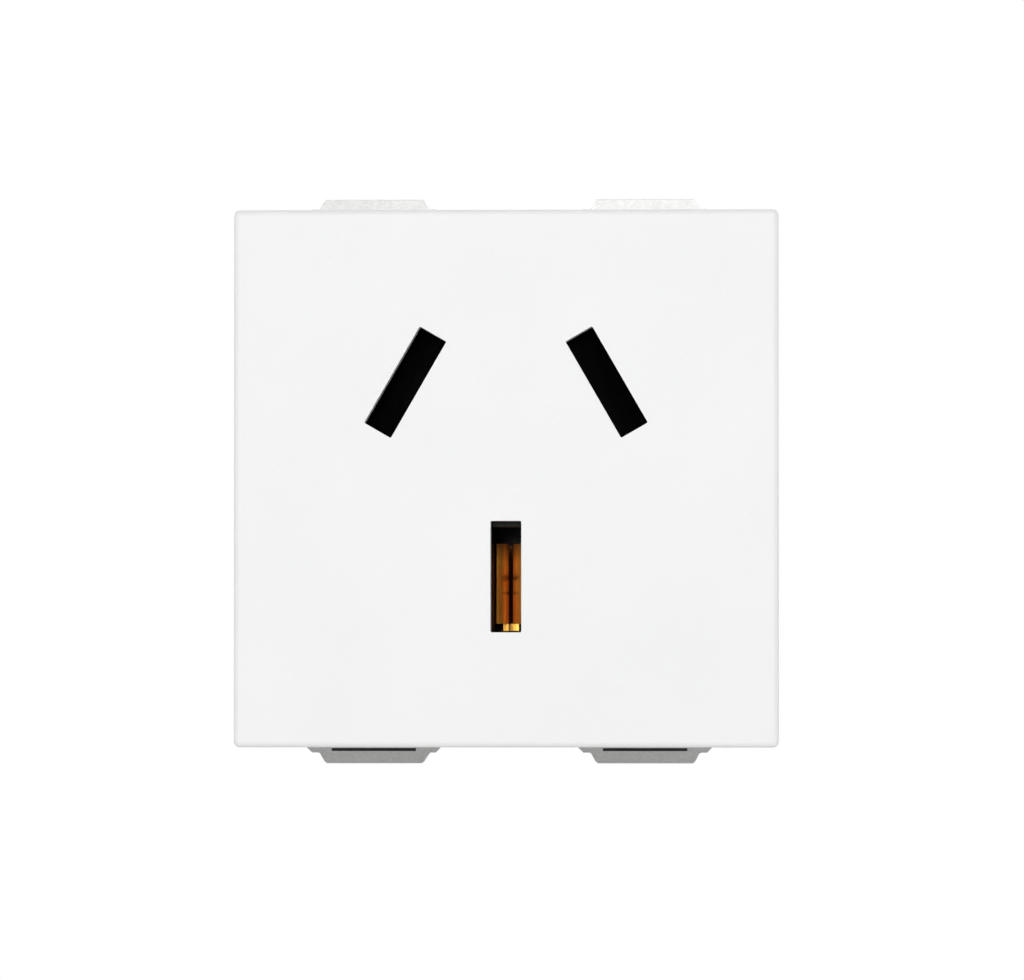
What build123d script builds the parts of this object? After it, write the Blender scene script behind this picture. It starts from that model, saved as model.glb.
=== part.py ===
"""Two-module snap-in socket outlet for flat three-pin plugs, for 45 mm openings.

Millimetres. The origin is the centre of the front face, which looks towards -Y.
+X is to the right as the face is seen, +Z is up and +Y goes into the wall.
"""

import os
from math import cos, radians, sin

from build123d import *

# Front cover
face_width = 45.0
face_height = 44.4
face_corner = 0.5
face_edge_round = 0.45
cover_thickness = 2.2
cover_wall = 1.6
cover_depth = 8.0
cavity_corner = 0.7

# Pin pattern: two line slots on one circle, the earth slot below on a wider one
pattern_centre_z = 3.14
line_pin_radius = 9.6
line_pin_angle = 60.0
earth_pin_radius = 11.25
slot_length = 9.2
slot_width = 2.55
slot_corner = 0.12

# Clearances
fit_gap = 0.1
slide_gap = 0.2
seat_gap = 0.3
thread_gap = 0.05

# Largest share of a corner or shank that an edge round may take
round_limit = 0.9

# Shutter: a fork with one ramped blade behind each line slot
shutter_thickness = 4.0
shutter_lap = 0.35
shutter_clear = 0.1
blade_end = 0.6
blade_sill = 0.7
blade_land = 1.45
bridge_half = 4.0
bridge_height = 2.7
prong_width = 1.4
prong_lap = 1.0

# Shutter spring
spring_wire = 0.4
spring_radius = 1.5
spring_packed = 3.6
spring_turns = 7
spring_steps = 8
spring_sides = 4
peg_radius = 0.9
peg_length = 1.4

# Inner cover: closes the contact chambers and carries the shutter
inner_thickness = 2.0
collar_height = 2.1
collar_wall = 1.45
entry_margin = 0.2
earth_entry_drop = 0.45
earth_entry_margin = 0.05
earth_post = 3.1

# Contacts: folded brass strip
contact_sheet = 0.6
contact_length = 15.0
contact_width = 6.7
contact_drop = 0.5
lip_radius = 1.2
lip_turn = 80.0
throat_half = 0.165
belly_half = 0.75
belly_run = 7.0
root_half = 0.95
leaf_bend = 1.2
web_half = 0.65
web_notch_half = 0.2
web_notch_depth = 2.0
tail_width = 5.2
tail_reach = 6.6

# Terminals: brass blocks riveted to the contacts, each with a clamping screw
block_length = 8.0
block_width = 6.4
block_inner = 3.6
block_outer = 3.2
block_edge = 0.4
wire_radius = 1.9
wire_length = 6.0
wire_shift = 0.6
clamp_radius = 1.7
clamp_length = 4.0
clamp_setback = 3.0
clamp_tip = 0.35
driver_slot_width = 0.8
driver_slot_depth = 1.1
rivet_radius = 1.15
rivet_head_radius = 1.8
rivet_head_height = 0.5

# Rear housing
spigot_gap = 0.8
spigot_wall = 1.4
flange_inset = 0.4
flange_thickness = 2.5
body_inset = 2.0
body_corner = 2.0
body_edge = 1.0
body_wall = 1.8
floor_thickness = 2.0
chamber_gap = 0.2
chamber_wall = 1.2
well_edge = 0.5
driver_hole_radius = 2.2

# Housing screws
screw_edge = 4.7
screw_z = -6.5
screw_radius = 1.45
screw_head_radius = 2.7
screw_head_height = 1.9
screw_head_bevel = 0.6
screw_tip = 1.0
screw_sink = 0.5
screw_tip_gap = 0.5
cross_length = 3.2
cross_width = 0.7
cross_depth = 1.0
boss_radius = 2.6
boss_skin = 1.6
tower_radius = 4.2

# Snap clips: bent spring steel, held between the cover's rim and the housing's flange
clip_spacing = 22.7
clip_sheet = 0.5
clip_bend = 0.4
ear_width = 11.15
ear_rise = 0.55
ear_slant = 0.4
ear_root = 0.3
tab_width = 9.1
tab_corner = 0.7
crest_width = 8.1
crest_rise = 1.55
crest_run = 1.4
crest_round = 0.7
leaf_run = 9.0
leaf_end_rise = -0.3
leaf_end_corner = 1.2
leg_gap = 0.15
window_width = 7.05
window_low = 0.17
window_high = 0.42
bend_set = 0.1
hook_width = 3.0
hook_height = 0.8
hook_gap = 0.1

# Depths behind the face, from front to back
shutter_front = cover_thickness + slide_gap
shutter_rear = shutter_front + shutter_thickness
shutter_middle = shutter_front + shutter_thickness / 2
inner_front = shutter_rear + slide_gap
inner_rear = inner_front + inner_thickness
mouth_depth = inner_rear + collar_height + seat_gap
throat_depth = mouth_depth + lip_radius * sin(radians(lip_turn))
root_rear = mouth_depth + contact_length
root_front = root_rear - contact_sheet
floor_front = root_rear + block_length
overall_depth = floor_front + floor_thickness
spigot_front = cover_thickness + spigot_gap
clamp_depth = floor_front - clamp_setback

# Widths and heights that several pieces share
line_lean = 90.0 - line_pin_angle
cavity_width = face_width - 2 * cover_wall
cavity_height = face_height - 2 * cover_wall
spigot_width = cavity_width - 2 * fit_gap
spigot_height = cavity_height - 2 * fit_gap
spigot_inner_width = spigot_width - 2 * spigot_wall
spigot_inner_height = spigot_height - 2 * spigot_wall
body_width = face_width - 2 * body_inset
body_height = face_height - 2 * body_inset
chamber_width = tail_width + 2 * chamber_gap
chamber_top = slot_length / 2 + chamber_gap
chamber_bottom = tail_reach + tail_width / 2 + chamber_gap
entry_width = slot_width + 2 * entry_margin
entry_length = slot_length + 2 * entry_margin
screw_x = body_width / 2 - screw_edge
screw_places = [(-screw_x, screw_z), (screw_x, screw_z)]


def at_depth(depth):
    """Plane parallel to the face, X right and Z up, at a depth behind it."""
    return Plane.XZ.offset(-depth)


def pole_plane(x, z, lean):
    """Plane at a pin: y runs down along the slot, leaning to -X, and z goes into the wall."""
    along = Vector(-sin(radians(lean)), 0, -cos(radians(lean)))
    inward = Vector(0, 1, 0)
    return Plane(origin=(x, 0, z), x_dir=along.cross(inward), z_dir=inward)


line_x = line_pin_radius * sin(radians(line_pin_angle))
line_z = pattern_centre_z + line_pin_radius * cos(radians(line_pin_angle))
earth_z = pattern_centre_z - earth_pin_radius
poles = {
    "live": pole_plane(-line_x, line_z, line_lean),
    "neutral": pole_plane(line_x, line_z, -line_lean),
    "earth": pole_plane(0, earth_z, 0),
}
clamp_sides = {"live": (-1, 0, 0), "neutral": (1, 0, 0), "earth": (0, 0, -1)}


def terminal_plane(name):
    """Plane at a terminal: x points to the clamping screw and z goes into the wall."""
    place = poles[name].from_local_coords((0, tail_reach, 0))
    return Plane(origin=place, x_dir=clamp_sides[name], z_dir=(0, 1, 0))


def clamp_plane(name):
    """Plane across a clamping screw's axis: z points out of the terminal."""
    place = terminal_plane(name).from_local_coords((0, 0, clamp_depth))
    return Plane(origin=place, x_dir=(0, 1, 0), z_dir=clamp_sides[name])


terminals = {name: terminal_plane(name) for name in poles}
clamps = {name: clamp_plane(name) for name in poles}

# Earth channel of the inner cover, which also guides the shutter and seats its spring
collar_half = slot_width / 2 + entry_margin + collar_wall
earth_entry_top = earth_z + slot_length / 2 - earth_entry_drop
earth_entry_bottom = earth_z - slot_length / 2 - earth_entry_margin
earth_entry_width = slot_width + 2 * earth_entry_margin
collar_top = earth_entry_top + earth_post
collar_bottom = earth_entry_bottom - collar_wall
shutter_travel = (slot_width + shutter_lap + shutter_clear) / sin(radians(line_lean))
spring_length = shutter_travel + spring_packed
bridge_low = collar_top + spring_length

# Clip heights, measured out from the middle of the socket
rim_height = face_height / 2
leg_root = spigot_height / 2 + leg_gap
ear_height = rim_height + ear_rise
crest_height = rim_height + crest_rise
hook_middle = (leg_root + rim_height - flange_inset) / 2

os.makedirs("parts", exist_ok=True)


def save(part, label):
    """Label a finished piece and write it to its own file."""
    part.label = label
    export_step(part, f"parts/{label}.step")


# Front cover: plate with a skirt, three slots and two screw bosses behind
boss_end = inner_rear - slide_gap
with BuildPart() as front_cover:
    with BuildSketch(at_depth(0)):
        RectangleRounded(face_width, face_height, face_corner)
    extrude(amount=-cover_depth)
    face_rim = front_cover.faces().sort_by(Axis.Y)[0].edges()
    fillet(face_rim, min(face_edge_round, round_limit * face_corner))
    with BuildSketch(at_depth(cover_thickness)):
        RectangleRounded(cavity_width, cavity_height, cavity_corner)
    extrude(amount=cover_thickness - cover_depth, mode=Mode.SUBTRACT)
    with BuildSketch(at_depth(cover_thickness)):
        with Locations(*screw_places):
            Circle(boss_radius)
    extrude(amount=cover_thickness - boss_end)
    with BuildSketch(at_depth(boss_skin)):
        with Locations(*screw_places):
            Circle(screw_radius + thread_gap)
    extrude(amount=boss_skin - boss_end, mode=Mode.SUBTRACT)
    for pole in poles.values():
        with BuildSketch(pole):
            RectangleRounded(slot_width, slot_length, slot_corner)
        extrude(amount=cover_thickness, mode=Mode.SUBTRACT)
save(front_cover.part, "front_cover")

# Rear housing: flanged cup with a chamber for each contact and an open well for each terminal
with BuildPart() as rear_housing:
    with BuildSketch(at_depth(cover_depth)):
        RectangleRounded(body_width, body_height, body_corner)
    extrude(amount=cover_depth - overall_depth)
    back_rim = rear_housing.faces().sort_by(Axis.Y)[-1].edges()
    chamfer(back_rim, min(body_edge, round_limit * body_corner))
    with BuildSketch(at_depth(cover_depth)):
        RectangleRounded(face_width - 2 * flange_inset, face_height - 2 * flange_inset, face_corner)
    extrude(amount=-flange_thickness)
    with BuildSketch(at_depth(spigot_front)):
        RectangleRounded(spigot_width, spigot_height, cavity_corner)
    extrude(amount=spigot_front - cover_depth)
    with BuildSketch(at_depth(spigot_front)):
        Rectangle(spigot_inner_width, spigot_inner_height)
    extrude(amount=spigot_front - inner_rear, mode=Mode.SUBTRACT)
    with BuildSketch(at_depth(inner_rear)):
        Rectangle(body_width - 2 * body_wall, body_height - 2 * body_wall)
    extrude(amount=inner_rear - floor_front, mode=Mode.SUBTRACT)
    # Walls of the chambers, then the chambers themselves
    chamber_middle = (chamber_bottom - chamber_top) / 2
    chamber_length = chamber_bottom + chamber_top
    block_middle = (block_outer - block_inner) / 2
    block_depth = block_outer + block_inner
    with BuildSketch(at_depth(inner_rear)):
        with Locations(*screw_places):
            Circle(tower_radius)
    extrude(amount=inner_rear - floor_front)
    for name, pole in poles.items():
        with BuildSketch(pole.offset(inner_rear)):
            with Locations((0, chamber_middle)):
                Rectangle(chamber_width + 2 * chamber_wall, chamber_length + 2 * chamber_wall)
        extrude(amount=floor_front - inner_rear)
        with BuildSketch(terminals[name].offset(root_rear)):
            with Locations((block_middle, 0)):
                Rectangle(
                    block_depth + 2 * (chamber_gap + chamber_wall),
                    block_width + 2 * (chamber_gap + chamber_wall),
                )
        extrude(amount=floor_front - root_rear)
    for name, pole in poles.items():
        with BuildSketch(pole.offset(inner_rear)):
            with Locations((0, chamber_middle)):
                Rectangle(chamber_width, chamber_length)
        extrude(amount=root_rear - inner_rear, mode=Mode.SUBTRACT)
        with BuildSketch(terminals[name].offset(inner_rear)):
            with Locations((block_middle, 0)):
                Rectangle(block_depth + 2 * chamber_gap, block_width + 2 * chamber_gap)
        extrude(amount=overall_depth - inner_rear, mode=Mode.SUBTRACT)
        # Bevelled rim of the well, which leads the wire in
        for rim_depth, rim_gap in (
            (overall_depth - well_edge, chamber_gap),
            (overall_depth, chamber_gap + well_edge),
        ):
            with BuildSketch(terminals[name].offset(rim_depth)):
                with Locations((block_middle, 0)):
                    Rectangle(block_depth + 2 * rim_gap, block_width + 2 * rim_gap)
        loft(ruled=True, mode=Mode.SUBTRACT)
        # Way for a screwdriver through the side
        with BuildSketch(clamps[name].offset(block_outer)):
            Circle(driver_hole_radius)
        extrude(amount=face_width / 2, mode=Mode.SUBTRACT)
    # Housing screw holes, counterbored for the heads
    with BuildSketch(at_depth(inner_rear)):
        with Locations(*screw_places):
            Circle(screw_radius + fit_gap)
    extrude(amount=inner_rear - overall_depth, mode=Mode.SUBTRACT)
    with BuildSketch(at_depth(overall_depth)):
        with Locations(*screw_places):
            Circle(screw_head_radius + fit_gap)
    extrude(amount=screw_head_height + screw_sink, mode=Mode.SUBTRACT)
    # Seats in the flange for the clips' legs, each with a hook that the leg drops over
    for x_side in (-1, 1):
        for z_side in (-1, 1):
            leg_low = leg_root - leg_gap
            with BuildSketch(at_depth(cover_depth)):
                with Locations((x_side * clip_spacing / 2, z_side * (leg_low + rim_height) / 2)):
                    Rectangle(ear_width + 2 * fit_gap, rim_height - leg_low)
            extrude(amount=-clip_sheet, mode=Mode.SUBTRACT)
            with BuildSketch(at_depth(cover_depth)):
                with Locations((x_side * clip_spacing / 2, z_side * hook_middle)):
                    Rectangle(hook_width - 2 * hook_gap, hook_height - 2 * hook_gap)
            extrude(amount=-clip_sheet)
save(rear_housing.part, "rear_housing")

# Inner cover: plate over the chambers, with the earth channel in front and collars behind
with BuildPart() as inner_cover:
    with BuildSketch(at_depth(inner_front)):
        RectangleRounded(
            spigot_inner_width - 2 * fit_gap, spigot_inner_height - 2 * fit_gap, cavity_corner
        )
    extrude(amount=-inner_thickness)
    with BuildSketch(at_depth(shutter_front)):
        with Locations((0, (collar_top + collar_bottom) / 2)):
            Rectangle(2 * collar_half, collar_top - collar_bottom)
    extrude(amount=shutter_front - inner_front)
    for pole in poles.values():
        with BuildSketch(pole.offset(inner_rear)):
            Rectangle(chamber_width - 2 * fit_gap, 2 * (chamber_top - fit_gap))
        extrude(amount=collar_height)
    for name in ("live", "neutral"):
        with BuildSketch(poles[name].offset(inner_front)):
            Rectangle(entry_width, entry_length)
        extrude(amount=inner_thickness + collar_height, mode=Mode.SUBTRACT)
    with BuildSketch(at_depth(shutter_front)):
        with Locations((0, (earth_entry_top + earth_entry_bottom) / 2)):
            Rectangle(earth_entry_width, earth_entry_top - earth_entry_bottom)
    extrude(amount=shutter_front - inner_rear - collar_height, mode=Mode.SUBTRACT)
    with BuildSketch(at_depth(inner_front)):
        with Locations(*screw_places):
            Circle(boss_radius + fit_gap)
    extrude(amount=-inner_thickness, mode=Mode.SUBTRACT)
    with BuildSketch(Plane.XY.offset(collar_top)):
        with Locations((0, shutter_middle)):
            Circle(peg_radius)
    extrude(amount=peg_length)
save(inner_cover.part, "inner_cover")

# Shutter: pins push on both ramps, and it slides down the earth channel against its spring
with BuildPart() as shutter:
    trailing = -slot_width / 2 - shutter_lap
    land_start = slot_width / 2 + slide_gap
    blade_length = slot_length + 2 * blade_end
    for name, side in (("live", 1), ("neutral", -1)):
        pole = poles[name]
        blade_plane = Plane(pole.origin, x_dir=pole.x_dir, z_dir=-pole.y_dir)
        with BuildSketch(blade_plane):
            with BuildLine():
                Polyline(
                    (side * trailing, shutter_rear),
                    (side * trailing, shutter_rear - blade_sill),
                    (side * land_start, shutter_front),
                    (side * (land_start + blade_land), shutter_front),
                    (side * (land_start + blade_land), shutter_rear),
                    close=True,
                )
            make_face()
        extrude(amount=blade_length / 2, both=True)
    prong_end = collar_top - prong_lap
    prong_middle = collar_half + slide_gap + prong_width / 2
    with BuildSketch(at_depth(shutter_front)):
        with Locations((0, bridge_low + bridge_height / 2)):
            Rectangle(2 * bridge_half, bridge_height)
        with Locations(
            (-prong_middle, (bridge_low + prong_end) / 2),
            (prong_middle, (bridge_low + prong_end) / 2),
        ):
            Rectangle(prong_width, bridge_low - prong_end)
    extrude(amount=-shutter_thickness)
    with BuildSketch(Plane.XY.offset(bridge_low)):
        with Locations((0, shutter_middle)):
            Circle(peg_radius)
    extrude(amount=-peg_length)
save(shutter.part, "shutter")

# Shutter spring: round wire wound between the earth channel's post and the shutter's bridge
spring_height = spring_length - spring_wire - 2 * thread_gap
spring_start = collar_top + thread_gap + spring_wire / 2
spring_plane = Plane(origin=(0, shutter_middle, spring_start))
with BuildPart() as shutter_spring:
    with BuildLine(spring_plane, mode=Mode.PRIVATE):
        coil = Helix(pitch=spring_height / spring_turns, height=spring_height, radius=spring_radius)
    steps = spring_turns * spring_steps
    with BuildLine():
        wire_line = Polyline(*[coil @ (step / steps) for step in range(steps + 1)])
    with BuildSketch(Plane(origin=wire_line @ 0, z_dir=wire_line % 0)):
        RegularPolygon(spring_wire / 2, spring_sides)
    sweep(path=wire_line, transition=Transition.RIGHT)
save(shutter_spring.part, "shutter_spring")

# Contacts: two bowed leaves joined by a web along their lower edge, and a tail to the terminal
for name, pole in poles.items():
    leaf_low = contact_width / 2 + contact_drop
    leaf_plane = Plane(pole.origin, x_dir=pole.x_dir, z_dir=-pole.y_dir)
    with BuildPart() as contact:
        with BuildSketch(leaf_plane.offset(-leaf_low)):
            with BuildLine():
                CenterArc(
                    center=(throat_half + lip_radius, throat_depth),
                    radius=lip_radius,
                    start_angle=180 + lip_turn,
                    arc_size=-lip_turn,
                )
                FilletPolyline(
                    (throat_half, throat_depth),
                    (belly_half, mouth_depth + belly_run),
                    (root_half, root_front),
                    radius=leaf_bend,
                )
                offset(amount=contact_sheet, side=Side.RIGHT)
            make_face()
            mirror(about=Plane.YZ)
        extrude(amount=contact_width)
        with BuildSketch(pole.offset(throat_depth)):
            with Locations((0, leaf_low + contact_sheet / 2)):
                Rectangle(2 * web_half, contact_sheet)
        extrude(amount=root_rear - throat_depth)
        with BuildSketch(pole.offset(throat_depth)):
            with Locations((0, leaf_low + contact_sheet / 2)):
                Rectangle(2 * web_notch_half, contact_sheet)
        extrude(amount=web_notch_depth, mode=Mode.SUBTRACT)
        leaf_top = contact_width / 2 - contact_drop
        with BuildSketch(pole.offset(root_front)):
            with Locations((0, (tail_reach - leaf_top) / 2)):
                Rectangle(tail_width, tail_reach + leaf_top)
            with Locations((0, tail_reach)):
                Circle(tail_width / 2)
                Circle(rivet_radius + thread_gap, mode=Mode.SUBTRACT)
        extrude(amount=contact_sheet)
    save(contact.part, f"{name}_contact")

# Terminals: blocks bored for the wire, with a rivet headed over the contact's tail
for name, terminal in terminals.items():
    with BuildPart() as block:
        with BuildSketch(terminal.offset(root_rear)):
            with Locations(((block_outer - block_inner) / 2, 0)):
                Rectangle(block_outer + block_inner, block_width)
        extrude(amount=block_length)
        chamfer(block.edges().filter_by(Axis.Y), block_edge)
        with BuildSketch(terminal.offset(root_front)):
            Circle(rivet_radius)
        extrude(amount=contact_sheet)
        with BuildSketch(terminal.offset(root_front)):
            Circle(rivet_head_radius)
        extrude(amount=-rivet_head_height)
        with BuildSketch(terminal.offset(floor_front)):
            with Locations((-wire_shift, 0)):
                Circle(wire_radius)
        extrude(amount=-wire_length, mode=Mode.SUBTRACT)
        with BuildSketch(clamps[name].offset(-wire_shift)):
            Circle(clamp_radius + thread_gap)
        extrude(amount=block_outer + wire_shift, mode=Mode.SUBTRACT)
    save(block.part, f"{name}_terminal")

# Clamping screws: headless, slotted, shown backed out to let the wire in
for name, clamp in clamps.items():
    tip_start = wire_radius - wire_shift
    with BuildPart() as clamp_screw:
        with BuildSketch(clamp.offset(tip_start)):
            Circle(clamp_radius)
        extrude(amount=clamp_length)
        tip_edge = clamp_screw.edges().filter_by(GeomType.CIRCLE).sort_by_distance(clamp.origin)[0]
        chamfer(tip_edge, clamp_tip)
        with BuildSketch(clamp.offset(tip_start + clamp_length)):
            Rectangle(driver_slot_width, 2 * clamp_radius)
        extrude(amount=-driver_slot_depth, mode=Mode.SUBTRACT)
    save(clamp_screw.part, f"{name}_terminal_screw")

# Housing screws: pan heads sunk in the back, shanks up into the cover's bosses
head_seat = overall_depth - screw_sink - screw_head_height
tip_depth = boss_skin + screw_tip_gap
for label, place in zip(("left_housing_screw", "right_housing_screw"), screw_places):
    with BuildPart() as housing_screw:
        with BuildSketch(at_depth(head_seat)):
            with Locations(place):
                Circle(screw_head_radius)
        extrude(amount=-screw_head_height)
        chamfer(housing_screw.edges().sort_by(Axis.Y)[-1], screw_head_bevel)
        with BuildSketch(at_depth(tip_depth)):
            with Locations(place):
                Circle(screw_radius)
        extrude(amount=tip_depth - head_seat)
        chamfer(housing_screw.edges().sort_by(Axis.Y)[0], min(screw_tip, round_limit * screw_radius))
        with BuildSketch(at_depth(head_seat + screw_head_height)):
            with Locations(place):
                Rectangle(cross_length, cross_width)
                Rectangle(cross_width, cross_length)
        extrude(amount=cross_depth, mode=Mode.SUBTRACT)
    save(housing_screw.part, label)

# Snap clips: a leg clamped behind the rim, ears beside a window at the bend, a sprung crest
for z_name, z_side in (("top", 1), ("bottom", -1)):
    for x_name, x_side in (("left", -1), ("right", 1)):
        middle = (x_side * clip_spacing / 2, 0, 0)
        side_view = Plane(origin=middle, x_dir=(0, 1, 0), z_dir=(z_side, 0, 0))
        front_view = Plane(origin=middle, x_dir=(1, 0, 0), z_dir=(0, -z_side, 0))
        inward = -z_side
        with BuildPart() as clip:
            with BuildSketch(side_view):
                with BuildLine():
                    FilletPolyline(
                        (cover_depth, leg_root),
                        (cover_depth, rim_height - bend_set),
                        (cover_depth + crest_run, crest_height),
                        (cover_depth + leaf_run, rim_height + leaf_end_rise),
                        radius=(clip_bend, crest_round),
                    )
                    offset(amount=clip_sheet, side=Side.RIGHT)
                make_face()
            extrude(amount=ear_width / 2, both=True)
            with BuildSketch(front_view.offset(inward * cover_depth)) as outline:
                with Locations((0, (leg_root + ear_height) / 2)):
                    Rectangle(ear_width, ear_height - leg_root)
                with BuildLine():
                    Polyline(
                        (-tab_width / 2, leg_root),
                        (tab_width / 2, leg_root),
                        (tab_width / 2, ear_height),
                        (crest_width / 2, crest_height),
                        (-crest_width / 2, crest_height),
                        (-tab_width / 2, ear_height),
                        close=True,
                    )
                make_face()
                ear_line = outline.vertices().group_by(Axis.Y)[1].sort_by(Axis.X)
                fillet(ear_line[1:-1], ear_root)
                ear_line = outline.vertices().group_by(Axis.Y)[1].sort_by(Axis.X)
                chamfer([ear_line[0], ear_line[-1]], ear_slant)
                fillet(outline.vertices().group_by(Axis.Y)[-1], tab_corner)
            extrude(amount=inward * leaf_run, mode=Mode.INTERSECT)
            with BuildSketch(front_view.offset(inward * (cover_depth + crest_run))):
                Rectangle(ear_width, 2 * crest_height)
                Rectangle(tab_width, 2 * crest_height, mode=Mode.SUBTRACT)
            extrude(amount=inward * leaf_run, mode=Mode.SUBTRACT)
            with BuildSketch(front_view.offset(inward * cover_depth)):
                with Locations((0, rim_height + (window_low + window_high) / 2)):
                    Rectangle(window_width, window_high - window_low)
                with Locations((0, hook_middle)):
                    Rectangle(hook_width, hook_height)
            extrude(amount=inward * crest_run, mode=Mode.SUBTRACT)
            free_end = clip.faces().sort_by(Axis.Y)[-1]
            fillet(free_end.edges().sort_by(SortBy.LENGTH)[:2], leaf_end_corner)
        save(clip.part, f"{z_name}_{x_name}_clip")
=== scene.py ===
"""Socket outlet: finishes, small hardware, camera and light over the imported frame, in metres."""

import math

import bmesh
import bpy
from mathutils import Matrix, Vector


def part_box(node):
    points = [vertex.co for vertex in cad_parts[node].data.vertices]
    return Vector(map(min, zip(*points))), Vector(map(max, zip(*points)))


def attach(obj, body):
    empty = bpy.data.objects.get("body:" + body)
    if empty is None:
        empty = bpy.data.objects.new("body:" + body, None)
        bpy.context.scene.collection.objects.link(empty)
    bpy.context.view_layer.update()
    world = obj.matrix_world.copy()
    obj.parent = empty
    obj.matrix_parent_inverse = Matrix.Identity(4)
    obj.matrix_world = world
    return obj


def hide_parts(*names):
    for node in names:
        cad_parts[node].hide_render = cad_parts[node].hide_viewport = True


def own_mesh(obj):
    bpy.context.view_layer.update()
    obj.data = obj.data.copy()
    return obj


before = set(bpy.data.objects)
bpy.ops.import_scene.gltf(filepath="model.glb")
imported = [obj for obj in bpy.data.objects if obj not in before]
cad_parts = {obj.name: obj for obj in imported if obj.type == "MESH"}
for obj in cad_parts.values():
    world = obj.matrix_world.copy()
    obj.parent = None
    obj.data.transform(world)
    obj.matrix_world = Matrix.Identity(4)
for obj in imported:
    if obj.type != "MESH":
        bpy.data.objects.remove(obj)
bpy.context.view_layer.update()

# Front cover: one injection moulding in white plastic, screwed to the housing from behind.
# The mould is finely eroded, so the gloss is satin; a few specks are painted in lighter as glints,
# and the thick plastic round the earth channel has sunk into a faint ring.
earth_slot_middle = (0.0, 0.0, -0.0081)
face_plane = (1.0, 0.0, 1.0)
sunk_from, sunk_to = 0.0054, 0.0072
speck_core, speck_edge = 0.03, 0.07
most_mottle = (0.3, 0.7)
fine_depth = 0.00002
black, white = (0.0, 0.0, 0.0), (1.0, 1.0, 1.0)


def new_finish(name):
    """A new material, with its shader and the coordinates of the piece that wears it."""
    finish = bpy.data.materials.new(name)
    finish.use_nodes = True
    nodes = finish.node_tree.nodes
    place = nodes.new("ShaderNodeTexCoord")
    return finish, nodes["Principled BSDF"], place.outputs["Object"]


def mottle(place, scale, detail):
    """An uneven pattern over the piece, from 0 to 1."""
    tree = place.id_data
    node = tree.nodes.new("ShaderNodeTexNoise")
    node.inputs["Scale"].default_value = scale
    node.inputs["Detail"].default_value = detail
    tree.links.new(place, node.inputs["Vector"])
    return node.outputs["Fac"]


def shades(value, *stops):
    """Colours that follow a value, given as the value and the colour at each stop."""
    tree = value.id_data
    node = tree.nodes.new("ShaderNodeValToRGB")
    elements = node.color_ramp.elements
    for element, (stop, colour) in ((elements[0], stops[0]), (elements[1], stops[-1])):
        element.position = stop
        element.color = (*colour, 1)
    for stop, colour in stops[1:-1]:
        elements.new(stop).color = (*colour, 1)
    tree.links.new(value, node.inputs["Fac"])
    return node.outputs["Color"]


def rescaled(value, source, target=(0.0, 1.0)):
    """A value drawn from one range onto another."""
    tree = value.id_data
    node = tree.nodes.new("ShaderNodeMapRange")
    node.inputs["From Min"].default_value, node.inputs["From Max"].default_value = source
    node.inputs["To Min"].default_value, node.inputs["To Max"].default_value = target
    tree.links.new(value, node.inputs["Value"])
    return node.outputs["Result"]


def laid_over(under, over, share):
    """A plain colour laid over another, as far as the share says."""
    tree = under.id_data
    node = tree.nodes.new("ShaderNodeMix")
    node.data_type = "RGBA"
    node.inputs["B"].default_value = (*over, 1)
    tree.links.new(under, node.inputs["A"])
    tree.links.new(share, node.inputs["Factor"])
    return node.outputs["Result"]


def measured(vector, operation, by=None):
    """One step of reckoning with coordinates."""
    tree = vector.id_data
    node = tree.nodes.new("ShaderNodeVectorMath")
    node.operation = operation
    if by is not None:
        node.inputs[1].default_value = by
    tree.links.new(vector, node.inputs[0])
    return node.outputs["Value" if operation == "LENGTH" else "Vector"]


def relief(height, strength, depth, below=None):
    """A surface raised by a height, on top of the relief below it if there is one."""
    tree = height.id_data
    node = tree.nodes.new("ShaderNodeBump")
    node.inputs["Strength"].default_value = strength
    node.inputs["Distance"].default_value = depth
    tree.links.new(height, node.inputs["Height"])
    if below is not None:
        tree.links.new(below, node.inputs["Normal"])
    return node.outputs["Normal"]


def coat(shader, colour, gloss, surface=None):
    """Gives a shader its colour, its roughness and its relief."""
    links = shader.id_data.links
    links.new(colour, shader.inputs["Base Color"])
    links.new(gloss, shader.inputs["Roughness"])
    if surface is not None:
        links.new(surface, shader.inputs["Normal"])


def dress(name, finish):
    """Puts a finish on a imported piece, in place of its plain one."""
    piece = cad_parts[name]
    piece.data.materials.clear()
    piece.data.materials.append(finish)


cover_white, shader, place = new_finish("cover_white")
shader.inputs["IOR"].default_value = 1.5
shader.inputs["Specular IOR Level"].default_value = 0.3
cloud = mottle(place, scale=90.0, detail=3.0)
tone = shades(cloud, (0.3, (0.797, 0.799, 0.801)), (0.7, (0.816, 0.817, 0.818)))
# Painted glints: small specks laid in a lighter white over the tone.
specks = cover_white.node_tree.nodes.new("ShaderNodeTexVoronoi")
specks.inputs["Scale"].default_value = 620.0
cover_white.node_tree.links.new(place, specks.inputs["Vector"])
painted_glints = shades(specks.outputs["Distance"], (speck_core, white), (speck_edge, black))
glint_speckled = laid_over(tone, (0.86, 0.86, 0.86), painted_glints)
from_slot = measured(place, "SUBTRACT", earth_slot_middle)
reach = measured(measured(from_slot, "MULTIPLY", face_plane), "LENGTH")
ring = shades(rescaled(reach, (sunk_from, sunk_to)), (0.0, white), (0.5, black), (1.0, white))
ring.node.color_ramp.interpolation = "EASE"
sink = relief(ring, strength=0.5, depth=fine_depth)
grain = mottle(place, scale=6500.0, detail=2.0)
eroded = relief(grain, strength=0.25, depth=fine_depth, below=sink)
coat(shader, glint_speckled, rescaled(grain, most_mottle, (0.38, 0.52)), eroded)
dress("front_cover", cover_white)

# Snap clips: stamped and bent from thin stainless spring strip, trapped between cover and housing.
# The rolled skin has a fine grain that breaks up reflections, with faint lines along the strip.
strip_draw = (1.0, 0.08, 0.08)


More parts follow.
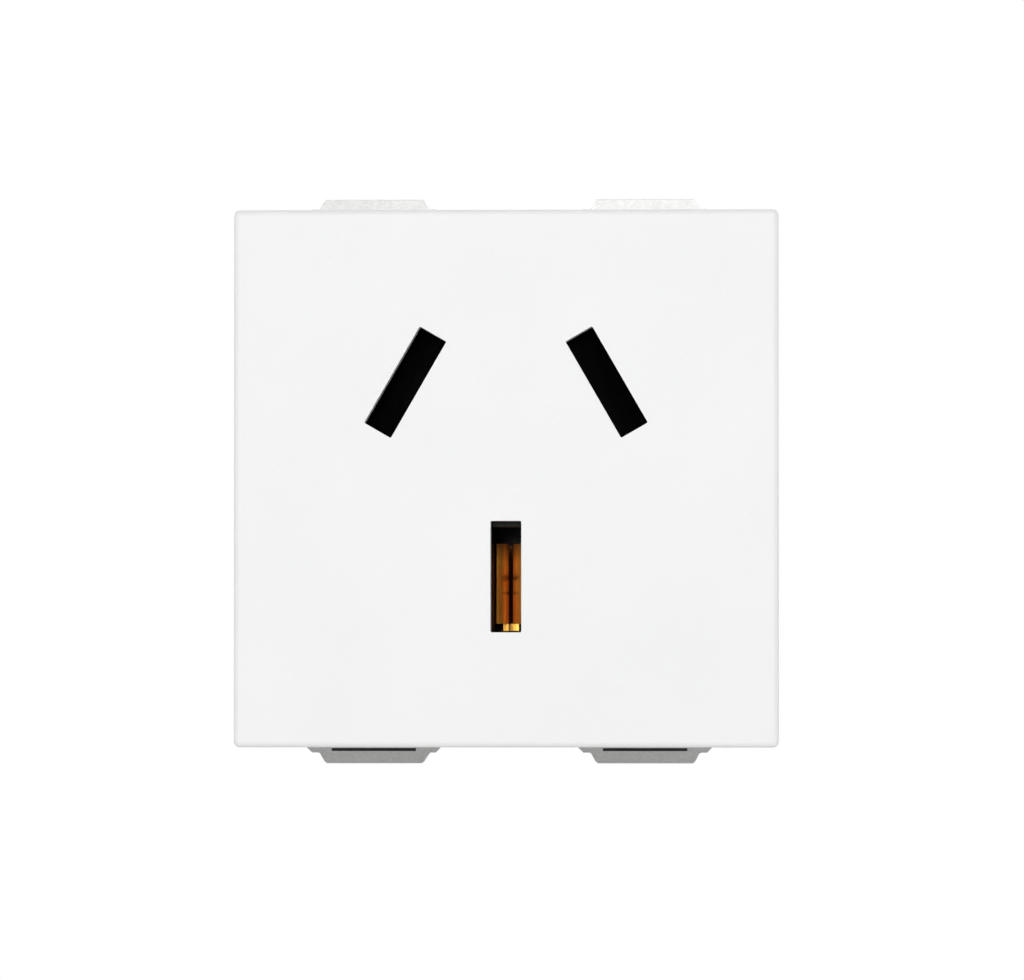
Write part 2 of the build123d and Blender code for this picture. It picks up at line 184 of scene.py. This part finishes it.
def drawn_out(place, scale, turn=(0.0, 0.0, 0.0)):
    """A piece's coordinates drawn out one way, for marks that run along it."""
    tree = place.id_data
    node = tree.nodes.new("ShaderNodeMapping")
    node.inputs["Scale"].default_value = scale
    node.inputs["Rotation"].default_value = turn
    tree.links.new(place, node.inputs["Vector"])
    return node.outputs["Vector"]


clip_steel, shader, place = new_finish("clip_steel")
shader.inputs["Metallic"].default_value = 1.0
tint = mottle(place, scale=3600.0, detail=3.0)
tone = shades(tint, (0.3, (0.53, 0.53, 0.52)), (0.7, (0.62, 0.62, 0.61)))
rolled = mottle(drawn_out(place, strip_draw), scale=2600.0, detail=3.0)
pits = mottle(place, scale=9000.0, detail=2.0)
pitted = relief(pits, strength=0.3, depth=fine_depth)
coat(shader, tone, rescaled(rolled, most_mottle, (0.33, 0.41)), pitted)
for edge in ("top", "bottom"):
    for side in ("left", "right"):
        dress(f"{edge}_{side}_clip", clip_steel)

# Inner cover: a black moulded plate dropped into the housing over the contacts, with the earth
# channel standing up from it to the back of the face. Seen only down the slots, so quite smooth.
inner_black, shader, place = new_finish("inner_black")
shader.inputs["Specular IOR Level"].default_value = 0.12
cloud = mottle(place, scale=300.0, detail=4.0)
tone = shades(cloud, (0.3, (0.0042, 0.0044, 0.0036)), (0.7, (0.0076, 0.0078, 0.0064)))
grain = mottle(place, scale=5000.0, detail=3.0)
grained = relief(grain, strength=0.3, depth=0.00003)
coat(shader, tone, rescaled(grain, most_mottle, (0.48, 0.64)), grained)
dress("inner_cover", inner_black)

# Shutter: a black moulded slider behind the line slots, of a slippery resin with a polished skin.
# Plug pins push its two ramps down; it carries fine lines where they rub.
rub_draw = (1.0, 0.1, 0.1)
shutter_black, shader, place = new_finish("shutter_black")
shader.inputs["Specular IOR Level"].default_value = 0.12
rubbed = mottle(drawn_out(place, rub_draw), scale=4000.0, detail=3.0)
tone = shades(rubbed, (0.35, (0.0014, 0.0014, 0.0015)), (0.75, (0.0030, 0.0030, 0.0032)))
scored = relief(rubbed, strength=0.2, depth=fine_depth)
coat(shader, tone, rescaled(rubbed, most_mottle, (0.40, 0.58)), scored)
dress("shutter", shutter_black)

# Shutter spring: drawn steel wire wound on a mandrel, with its end turns closed up. It stands on
# the earth channel, pushes the shutter up and shortens as the shutter goes down.
wire_radius = 0.0002
turns, end_turns = 7.0, 0.9
steps, sides = 308, 12


def skin(shape, loops):
    """Joins a row of loops of points into one closed form."""
    around = len(loops[0])
    for one, two in zip(loops, loops[1:]):
        for part in range(around):
            after = (part + 1) % around
            shape.faces.new((one[part], one[after], two[after], two[part]))
    shape.faces.new(list(reversed(loops[0])))
    shape.faces.new(loops[-1])


def stand_up(shape, name):
    """An object of the scene, made from a finished shape."""
    mesh = bpy.data.meshes.new(name)
    shape.to_mesh(mesh)
    shape.free()
    piece = bpy.data.objects.new(name, mesh)
    bpy.context.collection.objects.link(piece)
    return piece


low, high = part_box("shutter_spring")
middle = (low + high) / 2
coil = (high.y - low.y) / 2 - wire_radius
first, last = low.z + wire_radius, high.z - wire_radius
open_turns = turns - 2 * end_turns
end_lift = end_turns * 2 * wire_radius
upward = Vector((0, 0, 1))
coiled = bmesh.new()
rings = []
for step in range(steps + 1):
    turn = turns * step / steps
    rise = min(max(turn - end_turns, 0.0), open_turns) / open_turns
    height = first + end_lift * min(turn, end_turns) / end_turns
    height += rise * (last - first - 2 * end_lift)
    height += end_lift * max(turn - turns + end_turns, 0.0) / end_turns
    angle = 2 * math.pi * turn
    outward = Vector((math.cos(angle), math.sin(angle), 0.0))
    centre = Vector((middle.x, middle.y, height)) + outward * coil
    loop = []
    for side in range(sides):
        swing = 2 * math.pi * side / sides
        from_centre = outward * math.cos(swing) + upward * math.sin(swing)
        loop.append(coiled.verts.new(centre + from_centre * wire_radius))
    rings.append(loop)
skin(coiled, rings)
bmesh.ops.recalc_face_normals(coiled, faces=coiled.faces)
spring = stand_up(coiled, "shutter_spring_wire")
spring.data.shade_smooth()
spring_wire, shader, place = new_finish("spring_wire")
shader.inputs["Metallic"].default_value = 1.0
drawn = mottle(place, scale=3000.0, detail=3.0)
tone = shades(drawn, (0.0, (0.36, 0.36, 0.37)), (1.0, (0.58, 0.58, 0.57)))
coat(shader, tone, rescaled(drawn, (0.0, 1.0), (0.22, 0.42)))
spring.data.materials.append(spring_wire)
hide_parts("shutter_spring")
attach(spring, "root")
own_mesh(spring)

# Contacts: folded from rolled brass strip with rolled lips, riveted to the terminals. Pins polish the
# lips. Two dark brown marks are laid beside the earth contact's gap, at two heights. Painted shade
# darkens its upper end and the brass further in, and the ends of its web carry a painted highlight.
# The brass tone is pushed towards red, a painted reflection of light bounced between the lips.
strip_lines = (1.0, 1.0, 0.06)
marks_low, marks_high = -0.0101, -0.0075
dark_mark_stops = ((0.20, 0.0), (0.27, 0.8), (0.34, 0.0), (0.62, 0.0), (0.77, 1.0), (0.90, 0.0))
clear_of_gap, beside_gap = 0.00085, 0.00045
upper_low, upper_high = -0.0068, -0.0040
upper_shade_stops = ((0.5, 0.75), (0.95, 0.75))
shade_from, shade_to = 0.0124, 0.0160
web_top, web_highlight_full = -0.01190, -0.01196


def combined(operation, one, two=None):
    """One step of reckoning with values."""
    tree = one.id_data
    node = tree.nodes.new("ShaderNodeMath")
    node.operation = operation
    tree.links.new(one, node.inputs[0])
    if two is not None:
        tree.links.new(two, node.inputs[1])
    return node.outputs["Value"]


def peaks(value, *stops):
    """A strength that follows a value through its stops, and is nothing at both ends."""
    greys = [(stop, (strength, strength, strength)) for stop, strength in stops]
    return shades(value, (0.0, black), *greys, (1.0, black))


strip_brass, shader, place = new_finish("strip_brass")
shader.inputs["Metallic"].default_value = 0.45
shader.inputs["Specular IOR Level"].default_value = 0.2
patches = mottle(place, scale=500.0, detail=3.0)
# The tone is brass's own colour pushed far towards red, a painted reflection of light bounced between
# the lips.
tone = shades(patches, (0.3, (0.96, 0.29, 0.035)), (0.7, (1.0, 0.42, 0.06)))
split = strip_brass.node_tree.nodes.new("ShaderNodeSeparateXYZ")
strip_brass.node_tree.links.new(place, split.inputs["Vector"])
across, inward, height = split.outputs["X"], split.outputs["Y"], split.outputs["Z"]
# Two dark brown marks beside the earth contact's gap, at two heights.
by_height = peaks(rescaled(height, (marks_low, marks_high)), *dark_mark_stops)
by_gap = rescaled(combined("ABSOLUTE", across), (clear_of_gap, beside_gap))
mark_noise = mottle(place, scale=2600.0, detail=4.0)
mark_patches = rescaled(mark_noise, (0.3, 0.55))
marks = combined("MULTIPLY", combined("MULTIPLY", by_height, by_gap), mark_patches)
marked = laid_over(tone, (0.16, 0.05, 0.012), marks)
# Painted highlight: the lowest ends of the web are laid in bright gold.
web_end_highlight = rescaled(height, (web_top, web_highlight_full))
highlighted = laid_over(marked, (0.88, 0.47, 0.07), web_end_highlight)
# Painted shade: the upper end of the lips and the brass further in are laid in dark brown.
upper_shade = peaks(rescaled(height, (upper_low, upper_high)), *upper_shade_stops)
painted_shade = combined("MAXIMUM", rescaled(inward, (shade_from, shade_to)), upper_shade)
shaded = laid_over(highlighted, (0.22, 0.08, 0.018), painted_shade)
lines = mottle(drawn_out(place, strip_lines), scale=5200.0, detail=2.0)
lined = relief(lines, strength=0.25, depth=fine_depth)
coat(shader, shaded, rescaled(lines, most_mottle, (0.36, 0.50)), lined)
for pole in ("live", "neutral", "earth"):
    dress(f"{pole}_contact", strip_brass)

# Terminals: cut from extruded brass bar, drilled for the wire and tapped for the screw, each with a
# rivet over the contact's tail. Sawn and tumbled, so bright with short scratches.
saw_draw, saw_slant = (0.07, 1.0, 1.0), (0.0, 0.5, 0.0)
bar_brass, shader, place = new_finish("bar_brass")
shader.inputs["Metallic"].default_value = 1.0
patches = mottle(place, scale=420.0, detail=4.0)
tone = shades(patches, (0.3, (0.66, 0.40, 0.13)), (0.65, (0.85, 0.58, 0.24)))
scratches = mottle(drawn_out(place, saw_draw, saw_slant), scale=6000.0, detail=2.0)
scratched = relief(scratches, strength=0.35, depth=fine_depth)
coat(shader, tone, rescaled(scratches, most_mottle, (0.22, 0.42)), scratched)
for pole in ("live", "neutral", "earth"):
    dress(f"{pole}_terminal", bar_brass)

# Terminal and housing screws: zinc-plated steel with rolled threads. The terminal screws are
# headless with a saw slot; the housing screws have pan heads with a cross recess and run up into
# the cover.
plated_steel, shader, place = new_finish("plated_steel")
shader.inputs["Metallic"].default_value = 1.0
patches = mottle(place, scale=900.0, detail=4.0)
tone = shades(patches, (0.3, (0.55, 0.56, 0.58)), (0.7, (0.70, 0.69, 0.65)))
fine = mottle(place, scale=7000.0, detail=2.0)
plated = relief(fine, strength=0.2, depth=fine_depth)
coat(shader, tone, rescaled(patches, most_mottle, (0.24, 0.42)), plated)


def limited(value):
    """A value kept between 0 and 1."""
    return min(max(value, 0.0), 1.0)


def cut_screw(name, outline, thread, recess, foot, axis):
    """A threaded screw along axis from foot, with its driver recess cut in the far end.

    The outline is distances along the screw with their radii, the thread is its start, end, pitch and
    depth, and the recess is the half length, half width and depth of each of its grooves.
    """
    start, end, pitch, deep = thread
    loops_per_turn, around = 8, 32
    crest, flank = 0.2, 0.65
    hairbreadth = 1e-9
    stations = []
    for (low_end, low_radius), (high_end, high_radius) in zip(outline, outline[1:]):
        pieces = max(1, round((high_end - low_end) / (pitch / loops_per_turn)))
        if low_end < start - hairbreadth or high_end > end + hairbreadth:
            pieces = 1
        for piece in range(pieces):
            share = piece / pieces
            along = low_end + share * (high_end - low_end)
            radius = low_radius + share * (high_radius - low_radius)
            stations.append((along, radius))
    stations.append(outline[-1])
    shape = bmesh.new()
    loops = []
    for along, radius in stations:
        inside = limited((along - start) / pitch) * limited((end - along) / pitch)
        loop = []
        for part in range(around):
            turn = part / around
            wave = abs(2 * ((along / pitch - turn) % 1.0) - 1)
            reach = radius - limited((wave - crest) / flank) * deep * inside
            angle = 2 * math.pi * turn
            point = (reach * math.cos(angle), reach * math.sin(angle), along)
            loop.append(shape.verts.new(point))
        loops.append(loop)
    skin(shape, loops)
    screw = stand_up(shape, name)

    bottom_share, mouth_share, above = 0.75, 1.1, 0.0005
    top = outline[-1][0]
    cutter_shape = bmesh.new()
    for half_length, half_width, sunk in recess:
        levels = []
        for height, share in ((top - sunk, bottom_share), (top + above, mouth_share)):
            corners = []
            for x, y in ((-1, -1), (1, -1), (1, 1), (-1, 1)):
                corner = (x * half_length * share, y * half_width * share, height)
                corners.append(cutter_shape.verts.new(corner))
            levels.append(corners)
        skin(cutter_shape, levels)
    cutter = stand_up(cutter_shape, name + "_cutter")
    sawn = screw.modifiers.new("recess", "BOOLEAN")
    sawn.operation = "DIFFERENCE"
    sawn.solver = "EXACT"
    sawn.use_self = True
    sawn.object = cutter
    graph = bpy.context.evaluated_depsgraph_get()
    whole = bpy.data.meshes.new_from_object(screw.evaluated_get(graph))
    screw.modifiers.clear()
    bpy.data.objects.remove(cutter)

    turned = Vector(axis).to_track_quat("Z", "Y").to_matrix().to_4x4()
    whole.transform(Matrix.Translation(foot) @ turned)
    whole.shade_smooth()
    whole.set_sharp_from_angle(angle=math.radians(35))
    whole.materials.clear()
    whole.materials.append(plated_steel)
    screw.data = whole
    screw.data.name = name
    return screw


clamp_point, clamp_bevel = 0.00035, 0.0002
clamp_start, clamp_pitch, clamp_depth = 0.0003, 0.0006, 0.0003
saw_slot = ((0.0030, 0.0004, 0.0011),)
for pole, axis in (("live", (-1, 0, 0)), ("neutral", (1, 0, 0)), ("earth", (0, 0, -1))):
    node = f"{pole}_terminal_screw"
    low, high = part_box(node)
    middle = (low + high) / 2
    length = max(high - low)
    radius = min(high - low) / 2
    outline = (
        (0.0, radius - clamp_point),
        (clamp_point, radius),
        (length - clamp_bevel, radius),
        (length, radius - clamp_bevel),
    )
    thread = (clamp_start, length, clamp_pitch, clamp_depth)
    foot = middle - Vector(axis) * length / 2
    screw = cut_screw(f"{pole}_clamp_screw", outline, thread, saw_slot, foot, axis)
    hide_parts(node)
    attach(screw, node)

shank, shank_point = 0.00145, 0.0010
pan_start, pan_pitch, pan_depth = 0.0009, 0.0011, 0.00035
head_height = 0.0019
head_rim = 0.0010
head_crown = ((0.00135, 0.00008), (0.00165, 0.00030), (0.00182, 0.00070), (head_height, 0.00130))
arm_half, arm_width_half, arm_depth = 0.0016, 0.00036, 0.0011
cross = ((arm_half, arm_width_half, arm_depth), (arm_width_half, arm_half, arm_depth))
for side in ("left", "right"):
    node = f"{side}_housing_screw"
    low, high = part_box(node)
    middle = (low + high) / 2
    length = high.y - low.y
    head = (high.x - low.x) / 2
    seat = length - head_height
    outline = [
        (0.0, shank - shank_point),
        (shank_point, shank),
        (seat, shank),
        (seat, head),
        (seat + head_rim, head),
    ]
    for rise, drawn_in in head_crown:
        outline.append((seat + rise, head - drawn_in))
    thread = (pan_start, seat, pan_pitch, pan_depth)
    foot = Vector((middle.x, low.y, middle.z))
    screw = cut_screw(f"{side}_pan_screw", outline, thread, cross, foot, (0, 1, 0))
    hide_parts(node)
    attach(screw, "root")

# Rear housing: a deep cup moulded in black flame-proof resin, with chambers for the contacts and
# open wells for the terminals. The filled resin has a dull, finely grained skin.
body_black, shader, place = new_finish("body_black")
shader.inputs["Specular IOR Level"].default_value = 0.35
cloud = mottle(place, scale=160.0, detail=4.0)
tone = shades(cloud, (0.3, (0.0095, 0.0098, 0.0102)), (0.7, (0.0160, 0.0162, 0.0166)))
grain = mottle(place, scale=4200.0, detail=3.0)
grained = relief(grain, strength=0.4, depth=0.00004)
coat(shader, tone, rescaled(grain, most_mottle, (0.42, 0.62)), grained)
dress("rear_housing", body_black)

# Floor: a wide pale sheet below the part. Near the part it takes the shadow; further out it is plain
# white to the lens and in reflections, so the picture has a white ground.
floor_width, floor_drop = 6.0, 0.055
shadow_within, white_beyond = 0.08, 0.26


def picture_rays(tree):
    """1 for the rays that the lens follows: straight, mirrored, or through something clear."""
    rays = tree.nodes.new("ShaderNodeLightPath").outputs
    direct = combined("MAXIMUM", rays["Is Camera Ray"], rays["Is Glossy Ray"])
    return combined("MAXIMUM", direct, rays["Is Transmission Ray"])


def show_white(share, plain, bright, surface):
    """Shows the bright side of a surface in place of the plain one, as far as the share says."""
    tree = share.id_data
    mix = tree.nodes.new("ShaderNodeMixShader")
    tree.links.new(share, mix.inputs["Fac"])
    tree.links.new(plain, mix.inputs[1])
    tree.links.new(bright, mix.inputs[2])
    tree.links.new(mix.outputs["Shader"], surface)


bpy.ops.mesh.primitive_plane_add(size=floor_width, location=(0, 0, -floor_drop))
floor = bpy.context.object
floor.name = "floor"
floor_white, shader, place = new_finish("floor_white")
shader.inputs["Base Color"].default_value = (0.88, 0.88, 0.88, 1)
shader.inputs["Roughness"].default_value = 0.9
shader.inputs["Specular IOR Level"].default_value = 0.1
nodes = floor_white.node_tree.nodes
fade = rescaled(measured(place, "LENGTH"), (shadow_within, white_beyond))
fade.node.interpolation_type = "SMOOTHSTEP"
seen = combined("MULTIPLY", fade, picture_rays(floor_white.node_tree))
glow = nodes.new("ShaderNodeEmission")
surface = nodes["Material Output"].inputs["Surface"]
show_white(seen, shader.outputs["BSDF"], glow.outputs["Emission"], surface)
floor.data.materials.append(floor_white)

# Light: a plain studio set in a pale room, with one soft box beside the camera, a weaker one from
# the upper right, a small one overhead and wide ones behind and at both sides. The lens sees none
# of them, and sees the room as plain white.
room_strength = 0.42
world = bpy.data.worlds.new("studio")
bpy.context.scene.world = world
world.use_nodes = True
nodes = world.node_tree.nodes
room = nodes["Background"]
room.inputs["Color"].default_value = (*white, 1)
room.inputs["Strength"].default_value = room_strength
backdrop = nodes.new("ShaderNodeBackground")
backdrop.inputs["Color"].default_value = (*white, 1)
surface = nodes["World Output"].inputs["Surface"]
seen = picture_rays(world.node_tree)
show_white(seen, room.outputs["Background"], backdrop.outputs["Background"], surface)
for name, spot, size, watts in (
    ("front_box", (-0.052, -0.85, 0.045), 0.12, 2.75),
    ("side_box", (0.16, -0.82, 0.20), 0.30, 0.9),
    ("top_box", (0.10, 0.0, 0.80), 0.30, 0.52),
    ("back_box", (0.0, 0.75, 0.45), 0.90, 2.0),
    ("left_box", (-0.75, 0.20, 0.22), 0.60, 0.85),
    ("right_box", (0.75, 0.20, 0.22), 0.60, 0.85),
):
    lamp = bpy.data.lights.new(name, "AREA")
    lamp.size = size
    lamp.energy = watts
    holder = bpy.data.objects.new(name, lamp)
    bpy.context.collection.objects.link(holder)
    holder.location = spot
    holder.visible_camera = False
    holder.rotation_euler = (-Vector(spot)).to_track_quat("-Z", "Y").to_euler()

# Camera: a long lens 0.6 m away, nearly square to the face, a little to the right of its middle and
# a little below it.
aside, above, distance = math.radians(2.0), math.radians(-1.2), 0.600
target = Vector((0.00051, 0.0, -0.00097))
camera_data = bpy.data.cameras.new("camera")
camera_data.sensor_width = 36.0
camera_data.lens = 255.7
camera_data.clip_start = 0.01
camera_data.clip_end = 20.0
camera = bpy.data.objects.new("camera", camera_data)
bpy.context.collection.objects.link(camera)
back = Vector(
    (math.sin(aside) * math.cos(above), -math.cos(aside) * math.cos(above), math.sin(above))
)
camera.location = target + back * distance
camera.rotation_euler = (-back).to_track_quat("-Z", "Y").to_euler()
bpy.context.scene.camera = camera
bpy.context.scene.view_settings.view_transform = "Standard"
